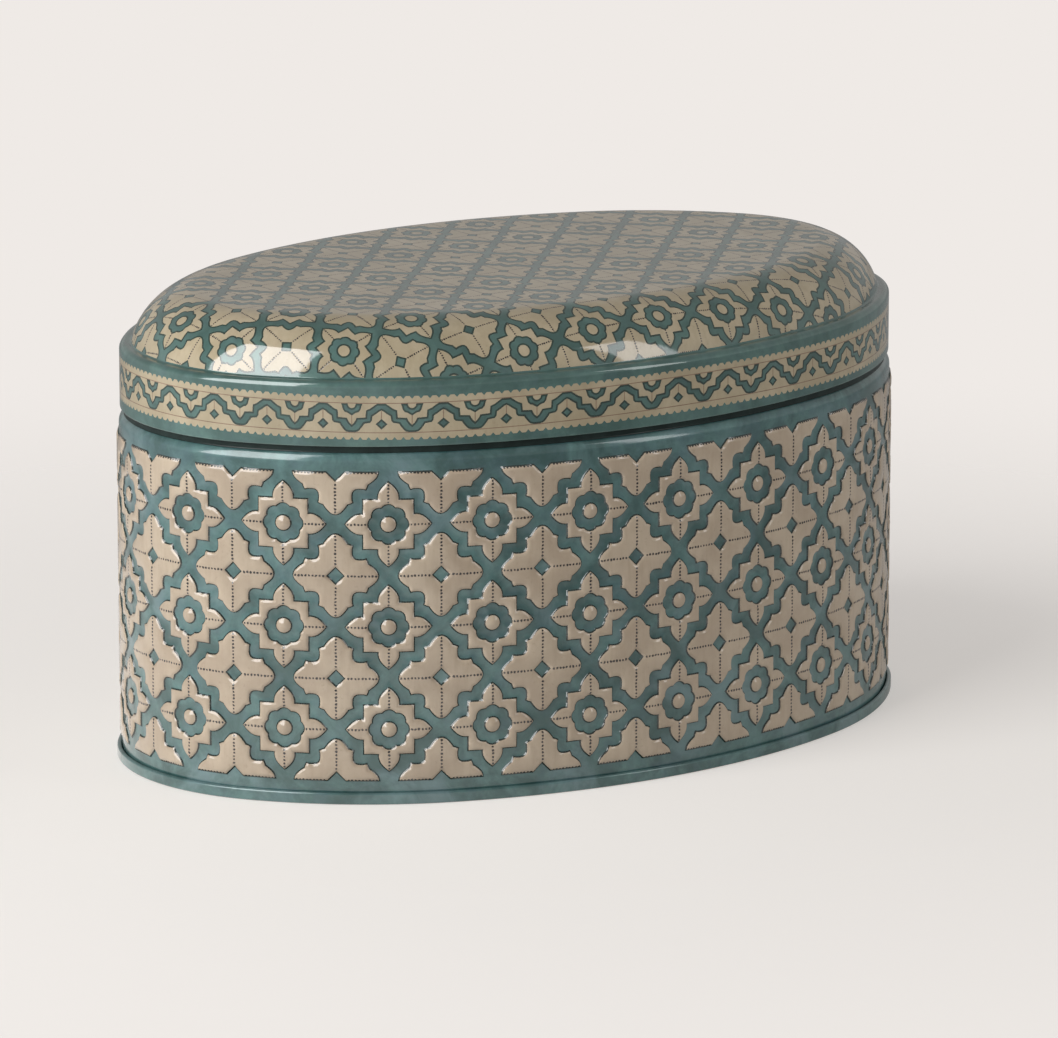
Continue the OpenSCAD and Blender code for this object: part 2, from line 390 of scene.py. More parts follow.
def emboss_template(cut_low=False, coarse=False, grooves=()):
    """Tile with a flower at the origin: points, triangles, then height and lean at each point, and
    zone and place in the print for each triangle. cut_low ends the lower figures in a straight
    edge. grooves are upright lines through the tile."""
    half = PITCH / 2
    low = -half - (LINE_W if cut_low and not coarse else 0)
    figures = tile_figures(PITCH, coarse, cut_low)
    tops = [up_slope(*figure, SLOPE_W) for figure in figures]
    crowns = [up_slope(*figure, SLOPE_W + ROUND_W) for figure in figures]
    lines = Lines()

    def ground(points):
        level = np.zeros((len(points), 3))
        for (_, raised), (top, _) in zip(figures, tops):
            level[inside(points, top), 0] = RELIEF if raised > 0 else 0
        return level

    def ring(line, rise, level, lean):
        lines.add(line, np.column_stack([np.full(len(line), level), lean * rise]), True)

    for i, ((outline, raised), top, crown) in enumerate(zip(figures, tops, crowns)):
        rise = unit(shifted(outline, raised) - outline)
        if coarse:
            ring(outline, rise, 0, FOOT_LEAN)
            ring(*top, RELIEF, EDGE_LEAN)
        else:
            ring(shifted(outline, -LINE_W * raised), rise, 0, FOOT_LEAN)
            ring(outline, rise, LINE_RISE, LINE_LEAN)
            ring(*top, EDGE_RISE, EDGE_LEAN)
            ring(*crown, RELIEF, BOSS_LEAN if i == BOSS_PLACE else CROWN_LEAN)
    boss, boss_rise = crowns[BOSS_PLACE]
    side = np.full(len(boss), RELIEF + BOSS_SIDE * BOSS_RISE)
    lines.dots(boss / 2, np.column_stack([side, BOSS_LEAN / 2 * boss_rise]))
    lines.dots([(0, 0)], (RELIEF + BOSS_RISE, 0, 0))
    lines.add([(-half, low), (half, low), (half, half), (-half, half)], closed=True)

    shares = EDGE_DOTS[1:4] if coarse else EDGE_DOTS
    places = np.array([f - 0.5 for f in shares] + [0.0] + [0.5 - f for f in shares]) * PITCH
    plain = [np.column_stack([np.full(len(places), x), places]) for x in (-half, half)]
    plain += [np.column_stack([places, np.full(len(places), y)]) for y in (half, low)]
    if not coarse:
        steps = (np.arange(FILL_DOTS) + 0.5) / FILL_DOTS * PITCH - half
        fill = np.stack(np.meshgrid(steps, steps), -1).reshape(-1, 2)
        plain.append(fill[np.min([nearest(fill, o)[0] for o, _ in figures], axis=0) > FILL_GAP])
    for points in plain:
        lines.dots(points, ground(points))
    for x in grooves:
        lines.add([(x, low), (x, half)])

    verts, faces, origin = lines.triangles()
    middle = verts[faces].mean(1)
    kept = faces[(np.abs(middle[:, 0]) < half) & (middle[:, 1] < half) & (middle[:, 1] > low)]
    used, place = np.unique(kept, return_inverse=True)
    verts, faces, origin = verts[used], place.reshape(-1, 3), origin[used]
    rise = np.array(lines.data)[origin]
    fresh = origin < 0
    rise[fresh] = ground(verts[fresh])
    if grooves:
        fresh |= np.abs(verts[:, :1] - np.array(grooves)).min(1) < TOUCH
        rise[fresh] = lookup(verts[fresh], *emboss_template(cut_low)[:3])
    zones = figure_zones(verts[faces].mean(1), figures, LINE_W)
    prints = verts[faces] / PITCH
    prints[zones == LINE] = bead_places(verts[faces[zones == LINE]], figures)
    return verts, faces, rise, zones, prints


# Patches of a sheet: corner positions are shared, while normals, colours and UVs go with the faces.
# A band is the part of the bake map's height that a patch takes up.
NO_PRINT = 0.25
MAP_L, MAP_D = 230, 152
FLAT_RINGS = (1.0, 0.8, 0.55, 0.25)


def patch(points, faces, normals, zones, bake, tile=None, turn=True):
    """One patch, whose faces are turned to look along its normals, or kept as they come. normals,
    bake and tile are given for each point, or for each corner of each face."""
    faces = np.array(faces)

    def corners(values):
        values = np.array(values, float)
        return values if values.ndim == 3 else values[faces]

    tile = np.full((len(points), 2), NO_PRINT) if tile is None else tile
    parts = {"normals": corners(normals), "bake": corners(bake), "tile": corners(tile), "faces": faces}
    p = points[faces]
    flat = np.cross(p[:, 1] - p[:, 0], p[:, 2] - p[:, 0])
    wrong = turn & ((flat * parts["normals"].mean(1)).sum(1) < 0)
    for values in parts.values():
        values[wrong] = values[wrong][:, ::-1]
    return {"points": points, "zones": np.broadcast_to(zones, len(faces)), **parts}


def bent_sheet(place, heading, steps, fine):
    """The faces of a sheet seen on edge, the one on the left of the heading and the one on the right,
    as rows of out, height and the two parts of the normal. A step is a run (length,) or a bend
    (radius at the middle of the sheet, turn in degrees)."""
    spot, angle = np.array(place, float), math.radians(heading)
    rows = []

    def left():
        return np.array([-math.sin(angle), math.cos(angle)])

    def note():
        rows.append([np.concatenate([spot + face * SHEET / 2 * left(), face * left()]) for face in (1, -1)])

    note()
    for step in steps:
        if len(step) == 1:
            spot = spot + step[0] * np.array([math.cos(angle), math.sin(angle)])
            note()
        else:
            radius, turn = step
            centre = spot + math.copysign(radius, turn) * left()
            count = max(FEWEST_STEPS, math.ceil(abs(turn) / fine))
            for _ in range(count):
                angle += math.radians(turn) / count
                spot = centre - math.copysign(radius, turn) * left()
                note()
    return np.array(rows).swapaxes(0, 1)


def sheet_edge(left, right, way):
    """Cut edge of a sheet between the ends of its two faces, looking along or against its heading."""
    edge = np.array([left, right])
    edge[:, 2:] = np.array([left[1] - right[1], right[0] - left[0]]) * way / SHEET
    return edge


def round_map(s, share, band):
    """Places in the bake map of a strip that runs round the box."""
    return np.stack([s / GIRTH, band[0] + (band[1] - band[0]) * share], -1)


def flat_map(xy, band):
    """Places in the bake map of a flat face as large as the box."""
    return np.column_stack([0.5 + xy[:, 0] / MAP_L, np.mean(band) + xy[:, 1] / MAP_D * (band[1] - band[0])])


def swept(rows, stations, zone, band, start=0.0):
    """Patch of a profile carried round the oval through stations, which end a girth after their start."""
    count, turns = len(rows), len(stations)
    s = np.tile(stations, count)
    out, z, n_out, n_up = np.repeat(rows, turns, axis=0).T
    points, normal, _ = oval_place(s, out, z)
    first = (np.arange(count - 1)[:, None] * turns + np.arange(turns - 1)).reshape(-1, 1)
    faces = np.concatenate([first + (0, 1, turns + 1), first + (0, turns + 1, turns)])
    along = np.cumsum([0.0] + np.linalg.norm(np.diff(rows[:, :2], axis=0), axis=1).tolist())
    bake = round_map(s - start, np.repeat(along / along[-1], turns), band)
    return patch(points, faces, normal * n_out[:, None] + UP * n_up[:, None], zone, bake)


def flat_face(stations, out, z, way, zone, band):
    """Patch of a flat oval face that looks up or down, inside a ring of stations."""
    ring = oval_place(stations[:-1], out, z)[0][:, :2]
    lines = Lines()
    for share in FLAT_RINGS:
        lines.add(ring * share, closed=True)
    verts, faces, _ = lines.triangles()
    points = np.column_stack([verts, np.full(len(verts), z)])
    return patch(points, faces, np.tile(way * UP, (len(verts), 1)), zone, flat_map(verts, band))


def zipped(low, high, row_low, row_high, zone, band, start=0.0):
    """Patch between two rows of unlike stations."""
    i = j = 0
    count = len(low)
    faces = []
    while i < count - 1 or j < len(high) - 1:
        if j == len(high) - 1 or (i < count - 1 and low[i + 1] <= high[j + 1]):
            faces.append((i, i + 1, count + j))
            i += 1
        else:
            faces.append((i, count + j + 1, count + j))
            j += 1
    s = np.concatenate([low, high])
    upper = np.arange(len(s)) >= count
    row = np.where(upper[:, None], row_high, row_low)
    points, normal, _ = oval_place(s, row[:, 0], row[:, 1])
    normals = normal * row[:, 2:3] + UP * row[:, 3:4]
    return patch(points, faces, normals, zone, round_map(s - start, upper, band))


def add_object(name, data):
    """A new object in the scene."""
    made = bpy.data.objects.new(name, data)
    bpy.context.scene.collection.objects.link(made)
    return made


def make_piece(name, patches, materials):
    """Joins patches into one object. Points that meet are shared."""
    starts = np.cumsum([0] + [len(p["points"]) for p in patches[:-1]])
    points = np.concatenate([p["points"] for p in patches])
    faces = np.concatenate([p["faces"] + n for p, n in zip(patches, starts)])
    _, first, shared = np.unique(np.round(points / WELD).astype(np.int64), axis=0,
                                 return_index=True, return_inverse=True)
    faces = shared.reshape(-1)[faces]
    real = (faces != np.roll(faces, 1, axis=1)).all(1)
    parts = {k: np.concatenate([p[k] for p in patches])[real] for k in ("normals", "zones", "tile", "bake")}
    used, place = np.unique(faces[real], return_inverse=True)
    points, faces = points[first[used]], place.reshape(-1, 3)

    mesh = bpy.data.meshes.new(name)
    mesh.vertices.add(len(points))
    mesh.vertices.foreach_set("co", (points * MM).astype(np.float32).ravel())
    mesh.loops.add(faces.size)
    mesh.loops.foreach_set("vertex_index", faces.astype(np.int32).ravel())
    mesh.polygons.add(len(faces))
    mesh.polygons.foreach_set("loop_start", np.arange(0, faces.size, 3, dtype=np.int32))
    shown = sorted(set(parts["zones"].tolist()))
    for zone in shown:
        mesh.materials.append(materials[zone])
    mesh.polygons.foreach_set("material_index", np.searchsorted(shown, parts["zones"]).astype(np.int32))
    mesh.polygons.foreach_set("use_smooth", np.ones(len(faces), bool))
    for layer, key in (("OFBake", "bake"), ("Tile", "tile")):
        uv = mesh.uv_layers.new(name=layer)
        uv.data.foreach_set("uv", parts[key].astype(np.float32).ravel())
    mesh.update(calc_edges=True)
    mesh.normals_split_custom_set(unit(parts["normals"]).reshape(-1, 3).tolist())
    return add_object(name, mesh)


# The wall. Its two faces take up these bands of the bake map, which start MAP_FOOT below the pattern
# and are MAP_H high.
OUTER_BAND, INNER_BAND = (0.02, 0.60), (0.64, 0.98)
MAP_FOOT, MAP_H = 10.0, 115.0
FIRST_S = FRONT + COLUMN_SHIFT - (COLUMNS / 2 + 0.5) * PITCH
PATTERN_TOP = PATTERN_Z + ROWS * PITCH
# Width of the sloped sides of the groove at the side seam, and height of a row just above the foot seam
GROOVE_EDGE, FOOT_Z = 0.12, 3.4
# The side seam's fold: radius of its edges, its band, and map lengths to a millimetre across it
FOLD_R, FOLD_BAND, FOLD_MAP = 0.15, (0.985, 0.995), 0.01


def groove_depth(x, z):
    """Depth of the groove along the side seam, at x across its tile. It ends with the pattern."""
    inwards = (GROOVE_W + GROOVE_EDGE) / 2 - np.abs(x + COLUMN_SHIFT)
    ends = np.minimum(z - PATTERN_Z, PATTERN_TOP - z) > TOUCH - LINE_W
    return GROOVE_DEPTH * np.clip(inwards / GROOVE_EDGE, 0, 1) * ends


def tile_on_wall(template, column, row, outer):
    """Patch of one tile wrapped on the wall, on its outer or inner face. The top row is mirrored, so
    that its straight edge comes on top."""
    xy, faces, rise, zones, prints = template
    if row == ROWS - 1:
        xy, rise = xy * (1, -1), rise * (1, 1, -1)
    s = FIRST_S + (column + 0.5) * PITCH + xy[:, 0]
    z = PATTERN_Z + (row + 0.5) * PITCH + xy[:, 1]
    out = rise[:, 0] - (groove_depth(xy[:, 0], z) if outer and column == 0 else 0)
    points, normal, tangent = oval_place(s, out if outer else out - SHEET, z)
    lean = rise[:, 1:2] * tangent + rise[:, 2:3] * UP
    share = np.where(rise[faces, 0].max(1) > GROUND_RISE, 1, GROUND_SHARE)
    normals = normal[faces] - share[:, None, None] * lean[faces]
    bake = round_map(s - FIRST_S, (z - PATTERN_Z + MAP_FOOT) / MAP_H, OUTER_BAND if outer else INNER_BAND)
    if outer:
        return patch(points, faces, normals, zones, bake, prints)
    return patch(points, faces, -normals, INSIDE, bake)


def edge_stations(template, first_template):
    """Places along the lower edge of the row of tiles, round the whole wall."""
    found = []
    for column in range(COLUMNS):
        xy = (template if column else first_template)[0]
        low = np.sort(xy[xy[:, 1] < xy[:, 1].min() + TOUCH, 0])
        found.append(FIRST_S + (column + 0.5) * PITCH + low[:-1])
    return np.concatenate(found + [[FIRST_S + GIRTH]])


def seam_fold():
    """Patch of the fold inside the wall, at the back, where its two edges are hooked together."""
    half = SIDE_SEAM_W / 2
    left = [(-half, -0.5 * SHEET), (-half, FOLD_R - 3 * SHEET), (FOLD_R - half, -3 * SHEET)]
    section = np.array(left + [(-x, y) for x, y in left[::-1]])
    count = len(section)
    points = np.vstack([oval_place(section[:, 0], section[:, 1], z)[0]
                        for z in (SIDE_SEAM_Z, SHOULDER_Z - SHEET)])
    faces = [f for i in range(count - 1) for f in ((i, i + 1, count + i + 1), (i, count + i + 1, count + i))]
    faces += [f for i in range(1, count - 1) for f in ((0, i, i + 1), (count, count + i, count + i + 1))]
    faces += [(0, count - 1, 2 * count - 1), (0, 2 * count - 1, count)]
    corners = points[np.array(faces)]
    away = unit(np.cross(corners[:, 1] - corners[:, 0], corners[:, 2] - corners[:, 0]))
    inwards = ((corners.mean(1) - points.mean(0)) * away).sum(1) < 0
    away[inwards] *= -1
    bake = np.column_stack([0.5 + FOLD_MAP * np.tile(section[:, 0], 2), np.repeat(FOLD_BAND, count)])
    return patch(points, faces, np.repeat(away[:, None], 3, 1), INSIDE, bake)


def make_wall(materials):
    edge = (GROOVE_W + GROOVE_EDGE) / 2
    cuts = [d - COLUMN_SHIFT for d in (-edge, GROOVE_EDGE - edge, edge - GROOVE_EDGE, edge)]
    plain, seamed, coarse = ([emboss_template(cut_low, **more) for cut_low in (False, True)]
                             for more in ({}, {"grooves": cuts}, {"coarse": True}))
    patches = [seam_fold()]
    for column in range(COLUMNS):
        for row in range(ROWS):
            at_end = row in (0, ROWS - 1)
            patches.append(tile_on_wall((plain if column else seamed)[at_end], column, row, True))
            patches.append(tile_on_wall(coarse[at_end], column, row, False))
    around = edge_stations(plain[True], seamed[True])
    around_inside = edge_stations(coarse[True], coarse[True])

    def upright(z, inner=False):
        return np.array([-SHEET, z, -1.0, 0]) if inner else np.array([0, z, 1.0, 0])

    low_place, low_steps = (WALL_MID + 2 * LAYER, HOOK_Z + BODY_HOOK), [(BODY_HOOK,), (LAYER, -180)]
    high_place, shoulder = (WALL_MID, SHOULDER_Z), [(SHOULDER_BEND_R, SHOULDER_TURN)]
    high_steps = shoulder + [(NECK_BEND_R, -SHOULDER_TURN), (NECK_RUN,), (CURL_R, CURL_TURN)]
    low_in, low_out = bent_sheet(low_place, -90, low_steps, FOLD_STEP)
    high_in, high_out = bent_sheet(high_place, 90, high_steps, BEND_STEP)
    neck_start = len(bent_sheet(high_place, 90, shoulder, BEND_STEP)[0]) - 1
    for rows, zone, band in (
            (np.vstack([low_out, upright(FOOT_Z), upright(PATTERN_Z - LINE_W)]), TEAL, (0.02, 0.06)),
            (np.vstack([upright(PATTERN_TOP + LINE_W), high_out[:neck_start + 1]]), TEAL, (0.48, 0.54)),
            # The neck, from the end of the shoulder up, is painted near black as shade in the gap under the
            # lid's edge
            (high_out[neck_start:], NECK_SHADE, (0.542, 0.60)),
            (low_in, INSIDE, (0.64, 0.66)),
            (high_in, INSIDE, (0.92, 0.98)),
            (sheet_edge(low_out[0], low_in[0], 1), TEAL, (0.62, 0.625)),
            (sheet_edge(high_out[-1], high_in[-1], -1), TEAL, (0.60, 0.605))):
        patches.append(swept(rows, around, zone, band, FIRST_S))
    for low, high, row_low, row_high, band in (
            (around, around_inside, low_in[-1], upright(PATTERN_Z, True), (0.662, 0.668)),
            (around_inside, around, upright(PATTERN_TOP, True), high_in[0], (0.91, 0.918))):
        patches.append(zipped(low, high, row_low, row_high, INSIDE, band, FIRST_S))
    return make_piece("wall_sheet", patches, materials)


# The lid's printed top and dome
PRINT_EDGE = FLAT_EDGE + DOME_R * math.radians(DOME_SLOPE)
LID_STATIONS, DOME_RINGS = 300, 12
PARTS = 40


def in_parts(test, points, *more):
    """Result of a test on many points, which is made a part at a time to spare memory."""
    return np.concatenate([test(part, *more) for part in np.array_split(points, PARTS)])


def dome_place(s, out):
    """Point and normal on the lid for a place in the plane of its print."""
    turn = (out - FLAT_EDGE) / DOME_R
    z = LID_TOP_Z - DOME_R * (1 - np.cos(turn))
    points, normal, _ = oval_place(s, FLAT_EDGE + DOME_R * np.sin(turn), z)
    return points, normal * np.sin(turn)[:, None] + UP * np.cos(turn)[:, None]


def lid_print():
    """Patch of the printed top and dome, and the places along its lower edge."""
    figures = tile_figures(1.0)
    lines = Lines()
    reach = [math.ceil(size / step) + 1 for size, step in zip((HALF_L, HALF_D), np.diag(LID_LATTICE))]
    for i in range(-reach[0], reach[0] + 1):
        for j in range(-reach[1], reach[1] + 1):
            for outline, raised in figures[:5]:
                for line in (outline, shifted(outline, -LID_LINE_SHARE * raised)):
                    placed = (line + (i, j)) @ LID_LATTICE + LID_ORIGIN
                    if (oval_find(placed)[1] < PRINT_EDGE).any():
                        lines.add(placed, closed=True)
    around = np.arange(LID_STATIONS) / LID_STATIONS * GIRTH
    for out in np.linspace(FLAT_EDGE, PRINT_EDGE, DOME_RINGS):
        ring = oval_place(around, out, 0.0)[0][:, :2]
        lines.add(ring, closed=True)
    verts, faces, _ = lines.triangles()
    faces = faces[in_parts(inside, verts[faces].mean(1), ring)]
    tiles = (verts - LID_ORIGIN) @ np.linalg.inv(LID_LATTICE)
    middle = tiles[faces].mean(1)
    folded = np.mod(middle + 0.5, 1) - 0.5
    zones = in_parts(figure_zones, folded, figures, LID_LINE_SHARE)
    edges = np.sort(np.concatenate([faces[:, [0, 1]], faces[:, [1, 2]], faces[:, [2, 0]]]), axis=1)
    pairs, count = np.unique(edges, axis=0, return_counts=True)
    on_rim = np.unique(pairs[count == 1])
    s, out = oval_find(verts)
    out[on_rim] = PRINT_EDGE
    flat = out <= FLAT_EDGE
    points, normals = dome_place(s, np.maximum(out, FLAT_EDGE))
    points[flat] = np.column_stack([verts[flat], np.full(flat.sum(), LID_TOP_Z)])
    tile = tiles[faces] + (folded - middle)[:, None]
    top = patch(points, faces, normals, zones, flat_map(verts, (0.01, 0.50)), tile, turn=False)
    return top, np.sort(s[on_rim])


# Border on the lid's skirt. Along it a place is counted in half repeats from the middle of a
# half flower, and down it from the upper rule to the lower one.
HALF_FLOWER = [(-1, -0.002), (-0.85, 0.0), (-0.78, 0.05), (-0.62, 0.17), (-0.485, 0.23), (-0.465, 0.48),
               (-0.165, 0.50), (-0.13, 0.585), (-0.07, 0.68), (0, 0.745)]
HALF_LOBES = [(-1, 0.235), (-0.93, 0.27), (-0.82, 0.36), (-0.70, 0.44), (-0.68, 0.60), (-0.62, 0.67),
              (-0.42, 0.70), (-0.39, 0.76), (-0.27, 0.92), (-0.20, 0.98), (-0.1, 1.0)]
HALF_RING = [(0.365, 0.0), (0.33, 0.10), (0.30, 0.22), (0.235, 0.30), (0.15, 0.32), (0.09, 0.36), (0, 0.42)]
HALF_BOSS = [(0.14, 0.0), (0.115, 0.09), (0.06, 0.145), (0, 0.16)]
BORDER_DIAMOND = [(1.199, 0.715), (1, 0.525), (0.801, 0.715), (1, 0.905)]
BORDER_W, BORDER_H = GIRTH / BORDER_REPEATS, RULE_HIGH - RULE_LOW
# Length of a repeat on the sides and at the ends, and how far from the middle of a side these hold
SIDE_REPEAT, END_REPEAT = 16.1, 14.15
SIDE_REACH, END_REACH = 62.0, 92.0
# Stems: the share of the repeat where one stands, and the shares of the height where it starts and ends
STEMS = ((0.5, 0.27, 0.58), (0.0, 0.48, 0.75))
STEM_W = 0.22
RULE_POINTS = 9
# Shift of the whole border, and of its waves that come twice and four times round the lid
WAVES = (-0.72, -0.2, 0.45)


def mirrored(half, shared=True):
    """A line that is completed on the other side of its axis."""
    line = np.array(half, float)
    return np.vstack([line, line[-2 if shared else -1::-1] * (-1, 1)])


ZIGZAG_HIGH, ZIGZAG_LOW = mirrored(HALF_FLOWER), mirrored(HALF_LOBES, False)


def gathered():
    """Lengths along the skirt and along the even border, whose repeats crowd together at the ends."""
    s = np.linspace(0, GIRTH, 4 * round(GIRTH) + 1)
    from_side = np.abs(np.mod(s + GIRTH / 4, GIRTH / 2) - GIRTH / 4)
    repeat = np.interp(from_side, (SIDE_REACH, END_REACH), (SIDE_REPEAT, END_REPEAT))
    along = np.concatenate([[0.0], np.cumsum(0.5 / repeat[1:] + 0.5 / repeat[:-1])])
    return s, along / along[-1] * GIRTH


GATHERED_S, GATHERED_U = gathered()


def border_from(s):
    """Length along the even border for a length s along the skirt."""
    s = np.asarray(s) - BORDER_SHIFT
    return np.interp(np.mod(s, GIRTH), GATHERED_S, GATHERED_U) + GIRTH * np.floor(s / GIRTH)


def skirt_from(u):
    """Length along the skirt for a length u along the even border."""
    return np.interp(np.mod(u, GIRTH), GATHERED_U, GATHERED_S) + GIRTH * np.floor(u / GIRTH) + BORDER_SHIFT


def border_wave(u):
    """How far the drawn sheet has carried the border up or down."""
    turn = 4 * math.pi * (skirt_from(u) - FRONT) / GIRTH
    return WAVES[0] + WAVES[1] * np.cos(turn) + WAVES[2] * np.cos(2 * turn)


def repeat_mm(line):
    """A line of the border's repeat in millimetres: along, and up from the lower rule."""
    return np.asarray(line, float) * (BORDER_W / 2, -BORDER_H) + (0, BORDER_H)


def channel(distance):
    """Outline of three repeats of the zigzag, moved inwards."""
    low, high = (np.vstack([line[:-1] + (2 * i, 0) for i in (-1, 0, 1)] + [line[-1:] + (2, 0)])
                 for line in (ZIGZAG_LOW, ZIGZAG_HIGH))
    return shifted(np.vstack([repeat_mm(low), repeat_mm(high)[::-1]]), distance), len(low)


def border_lines(distance):
    """Lower and upper edge of one repeat of the zigzag, moved inwards."""
    moved, low = channel(distance)
    one_low, one_high = len(ZIGZAG_LOW) - 1, len(ZIGZAG_HIGH) - 1
    return moved[one_low:2 * one_low + 1], moved[low:][::-1][one_high:2 * one_high + 1]


def border_figures():
    """Closed outlines of the border's other figures: a half ring, and a diamond at each side."""
    ring = np.vstack([mirrored(HALF_RING), mirrored(HALF_BOSS)[::-1]])
    diamond = np.array(BORDER_DIAMOND)
    return [repeat_mm(line) for line in (ring[::-1], diamond, diamond - (2, 0))]


def border_zones(u, v):
    """Colours of places along the border and up the skirt."""
    local = np.column_stack([np.mod(u, BORDER_W) - BORDER_W / 2, v - RULE_LOW])
    off = np.abs(np.mod(u / BORDER_W * TEETH, 1) - 0.5) / TOOTH_SHARE
    bite = TOOTH_DEPTH * np.clip(1 - off, 0, 1)
    zone = np.where((v > BORDER_LOW + bite) & (v < BORDER_HIGH - bite), BEIGE, TEAL)
    zone[inside(local, channel(0)[0])] = LINE
    zone[inside(local, channel(LID_LINE_W)[0])] = TEAL
    for outline in border_figures():
        within = inside(local, outline)
        zone[within] = LINE
        zone[within & inside(local, shifted(outline, LID_LINE_W))] = TEAL
    for low in (RULE_HIGH, RULE_LOW - RULE_W):
        zone[(v > low) & (v < low + RULE_W)] = BROWN
    up = local[:, 1] / BORDER_H
    for place, foot, top in STEMS:
        off = np.abs(np.mod(u / BORDER_W - place + 0.5, 1) - 0.5) * BORDER_W
        zone[(off < STEM_W / 2) & (up > foot) & (up < top) & (zone == BEIGE)] = BROWN
    return zone


def lid_skirt(high, low, z_high, z_low):
    """Patch of the lid's printed skirt between two rows of stations along it."""
    lines = Lines()
    start = border_from(0.0)

    def draw(line, closed=False):
        line = np.asarray(line, float)
        lines.add(line + np.column_stack([np.zeros(len(line)), border_wave(line[:, 0])]), closed=closed)

    for stations, z in ((high, z_high), (low, z_low)):
        lines.add(np.column_stack([border_from(stations), np.full(len(stations), z)]))
    for u in (start, start + GIRTH):
        lines.add([(u, z_low), (u, z_high)])
    for i in range(-1, BORDER_REPEATS + 1):
        corner = np.array([i * BORDER_W, RULE_LOW])
        middle = corner + (BORDER_W / 2, 0)
        even = np.linspace(0, BORDER_W, RULE_POINTS)
        for z in (RULE_HIGH, RULE_HIGH + RULE_W, RULE_LOW, RULE_LOW - RULE_W):
            draw(np.column_stack([corner[0] + even, np.full(len(even), z)]))
        for edge, depth in ((BORDER_HIGH, -TOOTH_DEPTH), (BORDER_LOW, TOOTH_DEPTH)):
            teeth = [(t + 0.5 + side * TOOTH_SHARE, depth * (side == 0))
                     for t in range(TEETH) for side in (-1, 0, 1)]
            teeth = np.array([(0, 0)] + teeth + [(TEETH, 0)])
            draw(teeth * (BORDER_W / TEETH, 1) + (corner[0], edge))
        for distance in (0, LID_LINE_W):
            for line in border_lines(distance):
                draw(line + middle)
            for outline in border_figures()[:2]:
                draw(shifted(outline, distance) + middle, True)
        for side in (-STEM_W / 2, STEM_W / 2):
            for place, foot, top in STEMS:
                draw([corner + (place * BORDER_W + side, share * BORDER_H) for share in (foot, top)])
    verts, faces, _ = lines.triangles()
    centres = verts[faces].mean(1)
    within = (centres[:, 0] > start) & (centres[:, 0] < start + GIRTH)
    within &= (centres[:, 1] > z_low) & (centres[:, 1] < z_high)
    faces, centres = faces[within], centres[within]
    s, z = skirt_from(verts[:, 0]), verts[:, 1]
    points, normals, _ = oval_place(s, SKIRT_MID + SHEET / 2, z)
    zones = border_zones(centres[:, 0], centres[:, 1] - border_wave(centres[:, 0]))
    bake = round_map(s, (z - z_low) / (z_high - z_low), (0.68, 0.80))
    return patch(points, faces, normals, zones, bake)


def make_lid(materials):
    top, rim = lid_print()
    around = np.concatenate([rim, [rim[0] + GIRTH]])
    even = np.linspace(0, GIRTH, LID_STATIONS + 1)
    dome = (DOME_R - SHEET / 2, -DOME_SLOPE)
    foot = [(CREASE_R + SHEET / 2, DOME_SLOPE), (LEDGE_W,), (LEDGE_BEND_R, -90)]
    start = (FLAT_EDGE, LID_TOP_Z - SHEET / 2)
    skirt_low = LID_EDGE_Z + SHEET / 2 + HEM_BEND_R
    skirt_high = LID_EDGE_Z + SKIRT_H
    outer, inner = bent_sheet(start, 0, [dome] + foot, BEND_STEP)
    hem_steps = [(HEM_BEND_R, -180), (HEM_H - SHEET / 2 - HEM_BEND_R,)]
    hem_out, hem_in = bent_sheet((SKIRT_MID, skirt_low), -90, hem_steps, FOLD_STEP)
    dome_rows = len(bent_sheet(start, 0, [dome], BEND_STEP)[0])
    return make_piece("lid_sheet", [
        top,
        swept(outer[dome_rows - 1:], around, TEAL, (0.82, 0.86)),
        lid_skirt(around, even, skirt_high, skirt_low),
        swept(hem_out, even, TEAL, (0.87, 0.89)),
        swept(sheet_edge(hem_out[-1], hem_in[-1], 1), even, TEAL, (0.892, 0.894)),
        swept(np.vstack([inner, hem_in]), even, INSIDE, (0.90, 0.99)),
        flat_face(even, FLAT_EDGE, LID_TOP_Z - SHEET, -1, INSIDE, (0.51, 0.67)),
    ], materials)


# The base

def make_base(materials):
    around = np.linspace(0, GIRTH, LID_STATIONS + 1)
    steps = [(PANEL_BEND_R, -90), (PANEL_Z - PANEL_BEND_R - FOOT_BEND_R - SHEET / 2,),
             (FOOT_BEND_R, 90), (SEAM_MID - CHUCK_MID - 2 * FOOT_BEND_R,), (FOOT_BEND_R, 90),
             (SEAM_H - SHEET - LAYER - FOOT_BEND_R,), (LAYER, 180), (COVER_HOOK,)]
    inner, outer = bent_sheet((PANEL_EDGE, PANEL_Z), 0, steps, BEND_STEP)
    return make_piece("base_sheet", [
        flat_face(around, PANEL_EDGE, inner[0, 1], 1, INSIDE, (0.01, 0.30)),
        flat_face(around, PANEL_EDGE, outer[0, 1], -1, TEAL, (0.31, 0.60)),
        swept(inner, around, INSIDE, (0.61, 0.70)),
        swept(outer, around, TEAL, (0.71, 0.97)),
        swept(sheet_edge(inner[-1], outer[-1], 1), around, TEAL, (0.98, 0.985)),
    ], materials)


# Materials

def linear(r, g, b):
    """Colour given as 0 to 255 on screen."""
    return [((v / 255 + 0.055) / 1.055) ** 2.4 if v > 10 else v / 255 / 12.92 for v in (r, g, b)] + [1.0]


